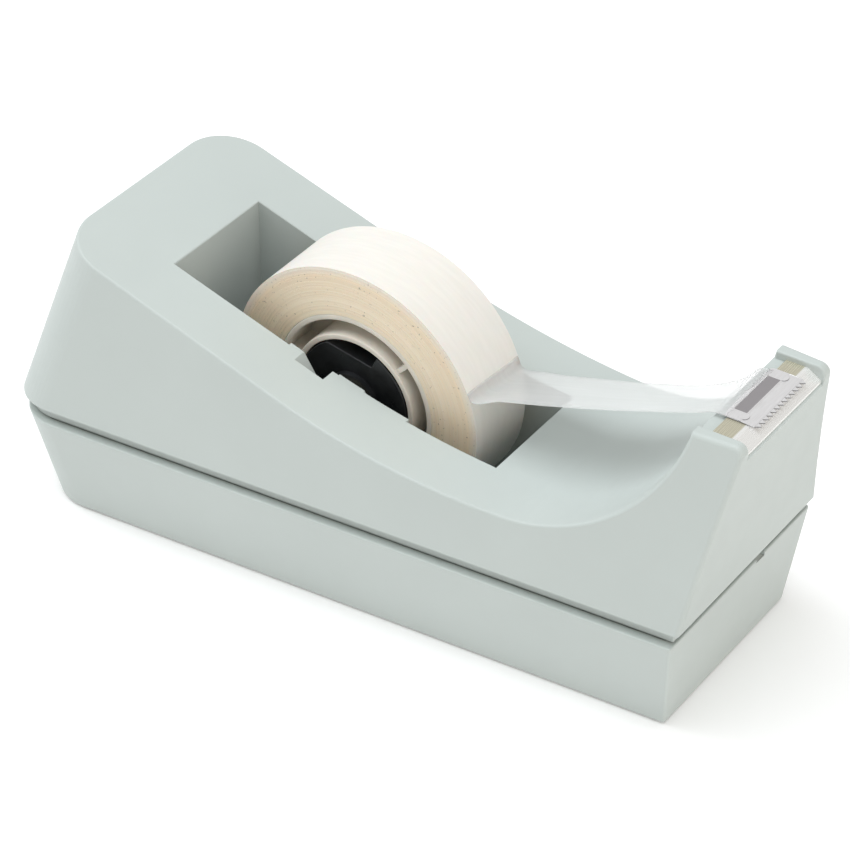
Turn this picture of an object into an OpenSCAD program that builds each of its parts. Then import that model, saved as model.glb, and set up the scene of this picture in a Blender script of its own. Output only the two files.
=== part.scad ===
// Desktop tape dispenser: a weighted two-part plastic body with an open well, a hub that carries
// one roll of tape, and a serrated cutter on a raised nose.
// Millimetres. +X runs toward the nose, +Y to the left of someone pulling tape, +Z is up.
// The origin is on the desk, at the centre of the footprint's length and width.

/* [Overall size] */
// Overall length, from the lower rear edge to the tip of the nose
body_length = 163.6; // [140:1:210]
// Overall height, from the desk to the top of the nose cheeks
body_height = 66.8; // [55:0.5:82]
// Width of the upper housing along its lower front edge
front_width = 53.8; // [44:0.5:66]

/* [Body shape] */
// Angle by which each long side opens out toward the rear
plan_taper = 3.95; // [0:0.05:5]
// Room beside the tape at the top of the nose, out to the outer face of each cheek
nose_margin = 7.7; // [6:0.05:9]
// Inward lean of the upper housing's rear face
rear_draft = 14.8; // [4:0.1:18]
// How far the nose reaches ahead of the upper housing's lower front edge
nose_overhang = 6.4; // [3:0.1:9]
// Hollow of the front face, measured at mid height
front_hollow = 0.3; // [0.2:0.1:2]
// Share of the run from the rear ridge to the valley that the straight rear slope would take
slope_share = 0.7485; // [0.6:0.005:0.85]
// How far the rear ridge stands below the nose cheeks
ridge_drop = 3.9; // [1:0.1:8]
// Corner radius at the rear of the upper housing
rear_corner = 11; // [6:0.5:14]
// Height of the lowest part of the top face, as a share of the overall height
valley_share = 0.566; // [0.5:0.002:0.66]
// Rounding of the front top corner of each nose cheek, seen from the side
cheek_round = 2; // [0.5:0.1:3]

/* [Base and joint line] */
// Height of the joint line, at the lower edge of the upper housing
joint_height = 25.9; // [22:0.1:30]
// Open band between the two housings
joint_band = 3; // [2:0.1:4]
// How far the band is set back from the outer faces
band_setback = 1.8; // [1:0.1:2.4]
// Inward lean of the base's sides toward the desk
base_draft = 10.2; // [3:0.1:14]
// Wall thickness of both housings
wall = 2.2; // [1.6:0.1:2.8]
// Thickness of the non-slip pad
pad_thickness = 1.5; // [1:0.1:2.5]

/* [Tape and hub] */
// Width of the tape
tape_width = 18; // [12:0.5:24]
// Outer diameter of the wound tape
roll_diameter = 59; // [46:0.5:68]
// Diameter of the bore through the tape's core
core_bore = 26.4; // [24:0.1:30]
// Outer diameter of the core, where the tape starts
core_diameter = 37.6; // [34:0.2:42]
// Diameter of the hub's axle
axle_diameter = 5.8; // [4.5:0.1:7.5]
// Lean of the two axle slots away from upright, with the seat toward the nose
slot_lean = 32; // [20:1:36]

/* [Cutter] */
// Length of one tooth along the cutting edge
tooth_pitch = 1.4; // [1:0.1:2]
// Reach of one tooth
tooth_reach = 1; // [0.6:0.1:1.4]
// Thickness of the cutter plate
blade_thickness = 0.4; // [0.3:0.05:0.7]
// Thickness of the plated bracket under the cutter
bracket_thickness = 0.6; // [0.4:0.05:1]

/* [Hidden] */
$fn = 96;

shell_plastic = [0.78, 0.82, 0.80];
dark_plastic = [0.08, 0.085, 0.09];
plated_steel = [0.80, 0.80, 0.76];
cast_grey = [0.35, 0.36, 0.36];
pad_black = [0.12, 0.12, 0.12];
core_white = [0.90, 0.87, 0.80];
tape_cream = [0.93, 0.88, 0.78];
tape_clear = [0.90, 0.90, 0.89];

big = 400;
running = 0.07;                      // radial clearance of a shaft that turns
easy = 0.3;                          // clearance between faces that pass each other
eps = 0.02;
corner_crest = 0.012;                // a rounded corner stands this much proud, so it meets the flats cleanly

// ---- stations derived from the driving sizes ----
half_length = body_length / 2;
rear_low_x = -half_length;
front_low_x = half_length - nose_overhang;
half_front = front_width / 2;
taper = tan(plan_taper);
rear_lean = tan(rear_draft);
base_lean = tan(base_draft);

base_foot = pad_thickness - 1;       // the base's edge clears the desk by this much
base_top = joint_height - joint_band;
floor_top = base_foot + wall;

nose_half_top = tape_width / 2 + nose_margin;
draft = (half_front - nose_overhang * taper - nose_half_top) / (body_height - joint_height);

valley_x = half_length * 0.428;
valley_height = body_height * valley_share;
nose_radius = body_length * 0.2225;
ridge_height = body_height - ridge_drop;
ridge_x = rear_low_x + (ridge_height - joint_height) * rear_lean;
slope_run = (valley_x - ridge_x) * slope_share;
top_slope = atan((ridge_height - valley_height) / slope_run);
knee_x = ridge_x + slope_run;        // where the rear slope would reach the valley's height
blend_run = valley_x - knee_x;
blend_radius = blend_run / tan(top_slope / 2);
blend_start_x = knee_x - blend_run * cos(top_slope);
blend_end_x = knee_x + blend_run;

roll_radius = roll_diameter / 2;
axis_x = -half_length * 0.143;
well_floor = floor_top + wall + 1.2;
axis_z = well_floor + roll_radius + 1.2;
well_half = tape_width / 2 + 5.3;
well_rear_x = axis_x - roll_radius - 11.2;
well_front_x = axis_x + roll_radius + 8.3;
tub_bottom = well_floor - wall;

pad_proud = 0.9;                     // wear pads around the axle slots stand out by this much
rib_proud = 0.4;
pad_face = well_half - pad_proud;
slot_depth = 3.4;
axle_radius = axle_diameter / 2;
slot_radius = axle_radius + running;
axle_flat = axle_radius * 0.8;       // half the width across the flats at the axle's ends
slot_half = axle_flat + running;

hub_radius = core_bore / 2 - 0.3;
hub_rim = 1.5;
flat_level = hub_radius * 0.757;     // the finger flat on each end of the hub: distance from the axis,
flat_depth = tape_width * 0.28;      // length along the axis,
flat_lean = -11;                     // lean of the flat,
flat_side = 64;                      // and the angle of the radial wall at its end
core_ring = 1.2;
barrel_half = tape_width / 2 + 0.4;
boss_half = pad_face - rib_proud - easy;
axle_half = pad_face + slot_depth - 0.6;
axle_bore = axle_radius + running;

cheek = 2.2;
cheek_drop = 1.8;                    // the bracket's seat lies this far below the cheek tops
cheek_inner = nose_half_top - cheek;
seat_z = body_height - cheek_drop;
blade_width = tape_width + 0.6;
blade_offset = 1.1;                  // the cutter plate sits this far toward the far cheek
blade_back_x = half_length - 9.8;
blade_front_x = half_length - 1.9;
bend_x = half_length - 4.2;          // the bracket turns down here
blade_z = seat_z + bracket_thickness;
// Rear edge of the ledge that the tape passes over, just behind the cutter
ledge_x = valley_x + sqrt(nose_radius * nose_radius - pow(valley_height + nose_radius - seat_z, 2));

screw_front = [front_low_x - 17, half_front - 12.4];
screw_rear = [rear_low_x + 16, half_front - 6.9];
screw_head_z = base_foot + 3.4;
boss_foot = screw_head_z + 3;
screw_length = 14;

// ---- small vector helpers ----
function unit(v) = v / norm(v);

// A block that fills everything behind the plane through p with outward normal n
module behind(p, n) {
    u = unit(n);
    translate(p) rotate([0, -asin(u[2]), atan2(u[1], u[0])])
        translate([-big, -big / 2, -big / 2]) cube(big);
}

// The waste outside a rounded edge of radius r, where the planes a and b meet along a line through p
module edge_waste(p, a, b, r) {
    na = unit(a);
    nb = unit(b);
    e = unit(cross(na, nb));
    u = unit(na + nb);
    v = cross(e, u);
    half = acos(min(1, na * nb)) / 2;
    side = na * v > 0 ? 1 : -1;
    c = -r / cos(half);
    multmatrix([[u[0], v[0], e[0], p[0]], [u[1], v[1], e[1], p[1]], [u[2], v[2], e[2], p[2]],
            [0, 0, 0, 1]])
        translate([c, 0, -big / 4]) linear_extrude(big / 2) difference() {
            polygon([[0, 0], [cos(half), side * sin(half)] * (r + 2), [r / cos(half) + 3, 0],
                [cos(half), -side * sin(half)] * (r + 2)]);
            circle(r + corner_crest);
        }
}

module both_sides() {
    children();
    mirror([0, 1, 0]) children();
}

// ---- body forms ----
near_shell = [taper, -1, draft];
rear_shell = [-1, 0, rear_lean];
near_skirt = [taper, -1, 0];
near_base = [taper, -1, -base_lean];
rear_base = [-1, 0, -base_lean * 0.87];
front_base = [1, 0, -base_lean * 0.63];

function half_at(x) = half_front + (front_low_x - x) * taper;
shell_corner = [rear_low_x, -half_at(rear_low_x), joint_height];
base_rear_x = rear_low_x + 1.2;
base_front_x = front_low_x - 1.2;
base_half_add = 0.35;
base_corner = [base_rear_x, -half_at(base_rear_x) - base_half_add, base_top];

function inward(p, n, t) = p - unit(n) * t;

// Drafted block shared by the shell and its cavity; t is how far every face moves inward
module drafted_block(corner, near, rear, radius, t) {
    difference() {
        intersection() {
            behind(inward(corner, near, t), near);
            mirror([0, 1, 0]) behind(inward(corner, near, t), near);
            behind(inward(corner, rear, t), rear);
        }
        both_sides() edge_waste(meet(corner, near, rear, t), near, rear, max(1, radius - t));
    }
}

// The point where both moved planes meet, on the level of the corner itself
function meet(corner, near, rear, t) =
    let (x = corner[0] + t * norm(rear) / abs(rear[0]),
        y = corner[1] + t * norm(near) / abs(near[1]) + (x - corner[0]) * near[0])
    [x, y, corner[2]];

// Side outline of the upper housing; t moves it inward
module side_outline(t) {
    rise = body_height - joint_height;
    chord = norm([nose_overhang, rise]);
    lean = atan2(nose_overhang, rise);
    front_radius = chord * chord / (8 * front_hollow);
    tip_lean = lean + 2 * atan(2 * front_hollow / chord);
    mid = [front_low_x + nose_overhang / 2, joint_height + rise / 2];
    front_centre = mid + [cos(lean), -sin(lean)] * (front_radius - front_hollow);
    blend_centre = [blend_end_x, valley_height + blend_radius];
    nose_centre = [valley_x, valley_height + nose_radius];
    difference() {
        translate([-big / 2, -10]) square([big / 2 + front_low_x + nose_overhang + 2, body_height + 10 - t]);
        translate(front_centre) circle(front_radius + t, $fn = 720);
        translate(front_centre + [0, -big - front_radius * 0.8]) square([big, big + front_radius * 0.3]);
        polygon([[blend_start_x, blend_start_z() - t / cos(top_slope)],
            [blend_start_x - big, blend_start_z() - t / cos(top_slope) + big * tan(top_slope)],
            [blend_start_x, big]]);
        intersection() {
            translate(blend_centre) circle(blend_radius + t, $fn = 720);
            translate([blend_start_x - t * sin(top_slope) - 1, valley_height - t - 1])
                square([max(valley_x, blend_end_x) - blend_start_x + t * sin(top_slope) + 1, big]);
        }
        intersection() {
            translate(nose_centre) circle(nose_radius + t, $fn = 360);
            translate([valley_x, valley_height - t - 1]) square([big, body_height]);
        }
        translate([front_low_x + nose_overhang, body_height]) rotate(-tip_lean / 2 - 45) cheek_corner(tip_lean);
    }
}
function blend_start_z() = valley_height + blend_run * sin(top_slope);

// The waste outside the rounded tip of a cheek, drawn with the corner at the origin and the cheek
// along -Y; tip_lean is how far the front face leans forward there
module cheek_corner(tip_lean) {
    half = (90 - tip_lean) / 2;
    tangent = [sin(half), -cos(half)] * cheek_round / tan(half);
    outside = [cos(half), sin(half)] * 2;
    flip = [[-1, 0], [0, 1]];
    difference() {
        polygon([[0, -cheek_round / sin(half)], tangent, tangent + outside, [0, 4],
            flip * (tangent + outside), flip * tangent]);
        translate([0, -cheek_round / sin(half)]) circle(cheek_round + corner_crest);
    }
}

module shell_form(t) {
    intersection() {
        drafted_block(shell_corner, near_shell, rear_shell, rear_corner, t);
        rotate([90, 0, 0]) translate([0, 0, -big / 4]) linear_extrude(big / 2) side_outline(t);
    }
}

// Upright form under the joint line; t is its set-back from the shell's lower edge
module skirt_form(t, low, high) {
    intersection() {
        drafted_block(shell_corner, near_skirt, [-1, 0, 0], rear_corner, t);
        translate([-big / 2, -big / 4, low]) cube([big / 2 + front_low_x - t, big / 2, high - low]);
    }
}

module base_form(t, low, high) {
    front_point = [base_front_x, 0, base_top];
    intersection() {
        drafted_block(base_corner, near_base, rear_base, rear_corner, t);
        behind(inward(front_point, front_base, t), front_base);
        translate([-big / 2, -big / 4, low]) cube([big, big / 2, high - low]);
    }
}

module at_screws() {
    for (s = [screw_front, screw_rear], side = [-1, 1]) translate([s[0], side * s[1], 0]) children();
}

// One axle slot's outline, seen from the side: a leaning channel, open at the top, with a round seat
module slot_outline() {
    translate([axis_x, axis_z]) rotate(slot_lean) intersection() {
        union() {
            circle(slot_radius);
            translate([-slot_half, 0]) square([2 * slot_half, body_height]);
        }
        translate([-slot_half, -slot_radius]) square([2 * slot_half, 2 * body_height]);
    }
}

// ---- housings ----
module well_tub() {
    translate([well_rear_x - wall, -well_half - wall, tub_bottom])
        cube([well_front_x - well_rear_x + 2 * wall, 2 * (well_half + wall), body_height]);
}

module slot_blocks() {
    both_sides() translate([axis_x - 19, -well_half - slot_depth - 0.6, axis_z - axle_radius - 5])
        cube([32, slot_depth + 0.6, body_height]);
}

module wear_pads() {
    pad_rear = axis_x - 12.2;
    pad_front = axis_x + 16.4;
    intersection() {
        both_sides() {
            translate([pad_rear, -well_half - eps, axis_z - 11])
                cube([pad_front - pad_rear, pad_proud + eps, body_height]);
            translate([axis_x, -pad_face - eps, axis_z]) rotate([0, -slot_lean, 0])
                translate([slot_radius + 0.4, 0, -6]) cube([4.4, rib_proud + eps, body_height]);
        }
        shell_form(0);
    }
}

module bracket_outline(grow) {
    drop = 1.9;
    polygon([[blade_back_x + 0.9, seat_z - grow], [bend_x, seat_z - grow],
        [half_length - 1.1, seat_z - drop - grow], [half_length - 1.1, seat_z - drop + bracket_thickness * 1.1],
        [bend_x + 0.15, blade_z], [blade_back_x + 0.9, blade_z]]);
}

// Room between the cheeks, above the bracket's seat and its bent front
module nose_room() {
    translate([0, cheek_inner, 0]) rotate([90, 0, 0]) linear_extrude(2 * cheek_inner)
        polygon([[blade_back_x - 6, seat_z], [bend_x, seat_z], [half_length - 1.1, seat_z - 1.9],
            [half_length + 6, seat_z - 1.9 - 1.9 * 7.1 / 3.1], [half_length + 6, body_height + 5],
            [blade_back_x - 6, body_height + 5]]);
}

module upper_housing() {
    color(shell_plastic) difference() {
        union() {
            difference() {
                union() {
                    intersection() {
                        shell_form(0);
                        translate([-big / 2, -big / 2, joint_height]) cube(big);
                    }
                    skirt_form(band_setback, base_top + easy, joint_height + eps);
                    skirt_form(wall + 2, base_top - 2.3, joint_height);
                }
                intersection() {
                    shell_form(wall);
                    translate([-big / 2, -big / 2, joint_height + 2.5]) cube(big);
                }
                skirt_form(wall + 3.2, base_top - 4, joint_height + 2.6);
            }
            intersection() {
                shell_form(wall / 2);
                union() {
                    well_tub();
                    slot_blocks();
                }
            }
            intersection() {
                shell_form(wall / 2);
                at_screws() translate([0, 0, boss_foot]) cylinder(r = 3.6, h = body_height);
            }
            // Cross wall that carries the nose
            intersection() {
                shell_form(wall / 2);
                translate([blade_back_x - 1, -big / 2, joint_height + 2]) cube([1.6, big, big]);
            }
        }
        translate([well_rear_x, -well_half, well_floor])
            cube([well_front_x - well_rear_x, 2 * well_half, body_height]);
        both_sides() translate([0, -pad_face, 0]) rotate([90, 0, 0])
            linear_extrude(slot_depth) slot_outline();
        at_screws() translate([0, 0, boss_foot - 1]) cylinder(r = 1.56, h = screw_length + 2);
        nose_room();
        // Sockets that hold the ends of the bracket
        translate([0, cheek_inner + 0.8, 0]) rotate([90, 0, 0])
            linear_extrude(2 * cheek_inner + 1.6) bracket_outline(0);
        for (side = [-1, 1]) translate([rivet_x, blade_offset + side * rivet_y, seat_z - 1.2])
            cylinder(r = 1.5, h = 2);
    }
    difference() {
        color(shell_plastic) wear_pads();
        both_sides() translate([0, -well_half + 5, 0]) rotate([90, 0, 0])
            linear_extrude(slot_depth + 6) slot_outline();
    }
}

module base_tray() {
    color(shell_plastic) difference() {
        union() {
            difference() {
                base_form(0, base_foot, base_top);
                base_form(wall, floor_top, base_top + 1);
            }
            at_screws() translate([0, 0, base_foot + 1]) cylinder(r = 5, h = boss_foot - base_foot - 1);
        }
        base_form(2.4, base_foot - 1, pad_thickness);
        at_screws() {
            translate([0, 0, -1]) cylinder(r = 3.4, h = screw_head_z + 1);
            translate([0, 0, -1]) cylinder(r = 1.8, h = boss_foot + 2);
        }
        // Pry notch in the front rim
        translate([base_front_x - 1.6, 6, base_top - 0.9]) cube([4, 3.2, 2]);
    }
}

module ballast(low_x, high_x) {
    color(cast_grey) difference() {
        intersection() {
            base_form(wall + 0.4, floor_top, base_top - 3.2);
            translate([low_x, -big / 4, 0]) cube([high_x - low_x, big / 2, big]);
        }
        at_screws() cylinder(r = 5.6, h = big / 4);
    }
}

module ballast_front() { ballast(well_front_x + wall + 0.8, base_front_x); }
module ballast_rear() { ballast(base_rear_x, well_rear_x - wall - 0.8); }

module non_slip_pad() {
    color(pad_black) base_form(2.7, 0, pad_thickness);
}

module housing_screw(index) {
    s = index < 2 ? screw_front : screw_rear;
    side = index % 2 == 0 ? -1 : 1;
    color(plated_steel) translate([s[0], side * s[1], screw_head_z]) difference() {
        union() {
            translate([0, 0, -1.9]) cylinder(r = 2.9, h = 1.9);
            cylinder(r = 1.5, h = screw_length - 1.5);
            translate([0, 0, screw_length - 1.5]) cylinder(r1 = 1.5, r2 = 0.3, h = 1.5);
        }
        for (turn = [0, 90]) rotate(turn) translate([-1.7, -0.35, -2.5]) cube([3.4, 0.7, 1.7]);
    }
}
module housing_screw_1() { housing_screw(0); }
module housing_screw_2() { housing_screw(1); }
module housing_screw_3() { housing_screw(2); }
module housing_screw_4() { housing_screw(3); }

// ---- cutter ----
rivet_x = blade_back_x + 3.6;
rivet_y = blade_width / 2 - 1.8;

module cutter_bracket() {
    color(plated_steel) difference() {
        translate([0, cheek_inner + 0.75, 0]) rotate([90, 0, 0])
            linear_extrude(2 * cheek_inner + 1.5) bracket_outline(0);
        for (side = [-1, 1]) translate([rivet_x, blade_offset + side * rivet_y, seat_z - 1])
            cylinder(r = 0.8, h = 3);
    }
}

module cutter_blade() {
    teeth = floor(blade_width / tooth_pitch);
    start = -teeth * tooth_pitch / 2;
    edge = blade_front_x - tooth_reach;
    color(plated_steel) translate([0, blade_offset, 0]) difference() {
        translate([0, 0, blade_z]) linear_extrude(blade_thickness)
            polygon(concat([[edge, blade_width / 2], [blade_back_x, blade_width / 2],
                [blade_back_x, -blade_width / 2], [edge, -blade_width / 2]],
                [for (i = [0 : teeth - 1], p = [0, 1])
                    [edge + p * tooth_reach, start + (i + p / 2) * tooth_pitch]],
                [[edge, -start]]));
        for (side = [-1, 1]) translate([rivet_x, side * rivet_y, blade_z - 1])
            cylinder(r = 1.1, h = 3);
    }
}

module blade_rivet(side) {
    color(plated_steel) translate([rivet_x, blade_offset + side * rivet_y, 0]) {
        translate([0, 0, blade_z]) cylinder(r = 1.08, h = blade_thickness);
        translate([0, 0, seat_z - eps]) cylinder(r = 0.78, h = bracket_thickness + 2 * eps);
        translate([0, 0, seat_z - 0.7]) cylinder(r = 1.2, h = 0.7);
    }
}
module blade_rivet_near() { blade_rivet(-1); }
module blade_rivet_far() { blade_rivet(1); }

// ---- hub, core and tape, built about the roll's axis ----
module on_axis() {
    translate([axis_x, 0, axis_z]) rotate([90, 0, 0]) children();
}

module tube(outer, inner, low, high) {
    translate([0, 0, low]) difference() {
        cylinder(r = outer, h = high - low);
        translate([0, 0, -1]) cylinder(r = inner, h = high - low + 2);
    }
}

// The axle's ends have flats that ride along the slot walls, so it doesn't turn
module hub_axle() {
    round_half = pad_face - rib_proud - easy;
    color(plated_steel) on_axis() {
        translate([0, 0, -round_half]) cylinder(r = axle_radius, h = 2 * round_half);
        intersection() {
            translate([0, 0, -axle_half]) cylinder(r = axle_radius, h = 2 * axle_half);
            rotate(slot_lean) translate([-axle_flat, -axle_radius - 1, -axle_half - 1])
                cube([2 * axle_flat, 2 * axle_radius + 2, 2 * axle_half + 2]);
        }
    }
}

// Push-on rings that keep the hub centred on its axle
module axle_retainer(side) {
    color(plated_steel) on_axis() translate([0, 0, side * (boss_half - 1.2)])
        tube(axle_radius + 1.6, axle_radius, -0.4, 0.4);
}
module axle_retainer_near() { axle_retainer(1); }
module axle_retainer_far() { axle_retainer(-1); }

// Room over the finger flat: a slice off the hub's end, closed on one side by a radial wall
module finger_flat() {
    translate([0, 0, barrel_half - flat_depth]) intersection() {
        rotate(flat_lean) translate([-hub_radius, flat_level, 0]) cube([2 * hub_radius, hub_radius, barrel_half]);
        rotate(flat_side) translate([-1, 0, 0]) cube([2 * hub_radius, 2 * hub_radius, barrel_half]);
    }
}

// One half of the barrel, with a closed end and a bearing tube for the axle
module hub_half() {
    difference() {
        union() {
            tube(hub_radius, hub_radius - hub_rim, 0, barrel_half);
            tube(hub_radius - hub_rim + eps, axle_radius + 3.1, barrel_half - hub_rim, barrel_half);
            intersection() {
                cylinder(r = hub_radius - 0.5, h = barrel_half);
                rotate(flat_lean) translate([-hub_radius, flat_level - hub_rim, barrel_half - flat_depth - hub_rim])
                    cube([2 * hub_radius, hub_radius, flat_depth + hub_rim]);
            }
        }
        finger_flat();
    }
    tube(axle_radius + 3.2, axle_bore, 0, boss_half - 2);
    // Ribs that grip the core
    for (i = [0 : 2]) rotate(i * 120 + 42) translate([hub_radius - 0.3, -0.9, 0.8])
        cube([0.48, 1.8, barrel_half - 2.4]);
}

module hub_half_near() {
    color(dark_plastic) on_axis() hub_half();
}

module hub_half_far() {
    color(dark_plastic) on_axis() mirror([0, 0, 1]) {
        hub_half();
        tube(hub_radius + 2.4, hub_radius - hub_rim, barrel_half + 0.1, barrel_half + 1.3);
        tube(hub_radius, hub_radius - hub_rim, barrel_half - eps, barrel_half + 0.2);
    }
}

module tape_core() {
    core_half = tape_width / 2 + 0.3;
    inner = core_bore / 2 + core_ring;
    outer = core_diameter / 2 - 0.05;
    color(core_white) on_axis() {
        tube(inner, core_bore / 2, -core_half, core_half);
        tube(outer, outer - core_ring, -tape_width / 2, tape_width / 2);
        tube(outer - core_ring + eps, inner - eps, -0.6, 0.6);
        for (i = [0 : 2]) rotate(i * 120 + 44) translate([inner - 0.2, -0.5, -tape_width / 2 + 0.4])
            cube([outer - core_ring - inner + 0.4, 1, tape_width - 0.8]);
    }
}

module tape_roll() {
    color(tape_cream) on_axis()
        tube(roll_radius, core_diameter / 2, -tape_width / 2, tape_width / 2);
}

// The free length of tape: it peels off the roll, sags a little and ends on the cutter
module tape_lead() {
    film = 0.12;
    top = blade_z + blade_thickness + 0.03;
    land = [ledge_x - 0.5, top];
    end = [blade_front_x - tooth_reach - 0.3, top];
    reach = land - [axis_x, axis_z];
    leave = atan2(reach[1], reach[0]);
    peel = [axis_x, axis_z] + [cos(leave), sin(leave)] * (roll_radius + easy + 0.05);
    steps = 24;
    sag = norm(land - peel) * 0.035;
    low = [for (i = [0 : steps]) let (t = i / steps)
        peel + (land - peel) * t + [0, -4 * sag * t * (1 - t)]];
    color(tape_clear) translate([0, tape_width / 2, 0]) rotate([90, 0, 0]) linear_extrude(tape_width)
        polygon(concat(low, [end], [end + [0, film]],
            [for (i = [steps : -1 : 0]) low[i] + [0, film]]));
}

upper_housing();
base_tray();
ballast_front();
ballast_rear();
non_slip_pad();
housing_screw_1();
housing_screw_2();
housing_screw_3();
housing_screw_4();
cutter_bracket();
cutter_blade();
blade_rivet_near();
blade_rivet_far();
hub_axle();
axle_retainer_near();
axle_retainer_far();
hub_half_near();
hub_half_far();
tape_core();
tape_roll();
tape_lead();
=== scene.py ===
"""Finishes a desk tape dispenser around its packed design: soft-edged plastic housings, a toothed
steel cutter, a black hub, a ribbed core, a wound roll and the free length of tape."""

import math

import bmesh
import bpy
from bpy.props import FloatProperty, FloatVectorProperty, IntProperty, PointerProperty
from mathutils import Matrix, Vector


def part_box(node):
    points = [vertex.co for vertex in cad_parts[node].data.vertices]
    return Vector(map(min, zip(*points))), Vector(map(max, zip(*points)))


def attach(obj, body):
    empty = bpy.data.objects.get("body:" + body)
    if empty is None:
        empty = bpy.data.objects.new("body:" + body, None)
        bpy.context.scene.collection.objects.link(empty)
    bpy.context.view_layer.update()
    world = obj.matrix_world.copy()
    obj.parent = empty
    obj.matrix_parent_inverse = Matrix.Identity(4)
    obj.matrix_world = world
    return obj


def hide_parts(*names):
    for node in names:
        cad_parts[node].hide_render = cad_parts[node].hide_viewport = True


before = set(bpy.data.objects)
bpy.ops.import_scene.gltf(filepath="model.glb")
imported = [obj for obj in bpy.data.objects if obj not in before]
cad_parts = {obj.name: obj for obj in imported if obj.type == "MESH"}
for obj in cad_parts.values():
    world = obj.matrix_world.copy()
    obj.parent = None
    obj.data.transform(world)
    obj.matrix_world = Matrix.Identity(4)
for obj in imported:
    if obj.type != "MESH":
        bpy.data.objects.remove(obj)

bl_info = {
    "name": "Desk Tape Dispenser",
    "version": (1, 0, 0),
    "blender": (4, 5, 0),
    "location": "View3D > Sidebar > Dispenser",
    "description": "Finishes the housings, cutter, hub and tape of a desk tape dispenser",
    "category": "Object",
}

MM = 0.001


def span(node):
    """The middle and the full size of a design node's box."""
    low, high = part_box(node)
    return (low + high) / 2, high - low


AXIS, ROLL_SIZE = span("tape_roll")
CORE_SIZE = span("tape_core")[1]
BLADE_LOW, BLADE_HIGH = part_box("cutter_blade")
BRACKET_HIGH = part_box("cutter_bracket")[1]
HOUSING_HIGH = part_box("upper_housing")[1]
BASE_LOW, BASE_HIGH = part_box("base_tray")


# ---- sizes and colours -------------------------------------------------------------------------


def length(name, text, default, **more):
    return FloatProperty(name=name, description=text, default=default, unit="LENGTH", min=0.0,
                         precision=5, **more)


def colour(name, text, default):
    return FloatVectorProperty(name=name, description=text, default=default, size=3,
                               subtype="COLOR", min=0.0, max=1.0)


class ShellSettings(bpy.types.PropertyGroup):
    plastic: colour("Plastic", "Colour of both housings", (0.512, 0.560, 0.543))
    top_edge: length("Top edge", "Rounding between the top face and the sides", 0.45 * MM)
    cheek_edge: length("Cheek edge", "Rounding of the outer edges of the nose cheeks", 0.8 * MM)
    corner_edge: length("Front corner", "Rounding of the upright front corners", 0.8 * MM)
    lip_edge: length("Lip edge", "Rounding of the lips beside the open band", 0.35 * MM)
    well_edge: length("Well edge", "Rounding of the rim of the well", 0.22 * MM)
    grain: length("Grain", "Size of the moulded surface grain", 0.32 * MM)
    roughness: FloatProperty(name="Roughness", description="Roughness of the plastic", default=0.46,
                             min=0.0, max=1.0, subtype="FACTOR")


class CutterSettings(bpy.types.PropertyGroup):
    pitch: length("Tooth pitch", "Length of one tooth along the cutting edge", 1.4 * MM)
    reach: length("Tooth reach", "How far a tooth stands out", 1.0 * MM)
    corner: length("Plate corner", "Corner radius of the cutter plate", 0.9 * MM)
    steel: colour("Steel", "Colour of the plated bracket and the screws", (0.60, 0.575, 0.455))
    blade: colour("Blade", "Colour of the cutter plate", (0.80, 0.795, 0.81))
    band: colour("Band", "Colour of the plain printed band on the cutter plate", (0.36, 0.345, 0.36))


class HubSettings(bpy.types.PropertyGroup):
    plastic: colour("Plastic", "Colour of the hub", (0.0095, 0.0105, 0.012))
    edge: length("Edge", "Rounding of the hub's edges", 0.18 * MM)
    core: colour("Core", "Colour of the tape's core", (0.72, 0.675, 0.60))
    core_wall: length("Core wall", "Thickness of each ring of the core", 1.2 * MM)
    ribs: IntProperty(name="Ribs", description="Ribs between the core's rings", default=3, min=1, max=24)
    rib_turn: FloatProperty(name="Rib turn", description="Angle of the first rib above the front",
                            default=math.radians(44), subtype="ANGLE")


class TapeSettings(bpy.types.PropertyGroup):
    layers: IntProperty(name="Layers", description="Bands of winding across the roll's side",
                        default=46, min=4, max=120)
    ragged: length("Ragged", "How far a band may stand in or out", 0.07 * MM)
    seed: IntProperty(name="Seed", description="Seed of the uneven winding", default=7, min=0)
    side: colour("Side", "Colour of the roll's side", (0.84, 0.70, 0.52))
    face: colour("Face", "Colour of the roll's outer face", (0.81, 0.785, 0.735))
    film: colour("Film", "Colour of the free tape", (0.93, 0.925, 0.93))
    thickness: length("Film thickness", "Thickness of the free tape", 0.08 * MM)
    far_sag: length("Far sag", "How far the far edge hangs below the near edge", 5.0 * MM)


class StageSettings(bpy.types.PropertyGroup):
    floor: colour("Floor", "Colour of the floor", (0.93, 0.93, 0.93))
    turn: FloatProperty(name="Turn", description="Camera's angle round the object",
                        default=math.radians(34.139), subtype="ANGLE")
    rise: FloatProperty(name="Rise", description="Camera's angle above the desk",
                        default=math.radians(36.183), subtype="ANGLE")
    distance: length("Distance", "Camera's distance from the object's middle", 0.68795)
    lens: FloatProperty(name="Lens", description="Focal length on a 36 mm sensor", default=142.80)
    key: FloatProperty(name="Key", description="Power of the overhead light", default=6.9, min=0.0)
    side: FloatProperty(name="Side", description="Power of the rear left light", default=4.2, min=0.0)
    fill: FloatProperty(name="Fill", description="Power of the warm light in front", default=1.7, min=0.0)
    sky: FloatProperty(name="Sky", description="Strength of the even surrounding light", default=0.52,
                       min=0.0)


GROUPS = {"shell": ShellSettings, "cutter": CutterSettings, "hub": HubSettings,
          "tape": TapeSettings, "stage": StageSettings}


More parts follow.
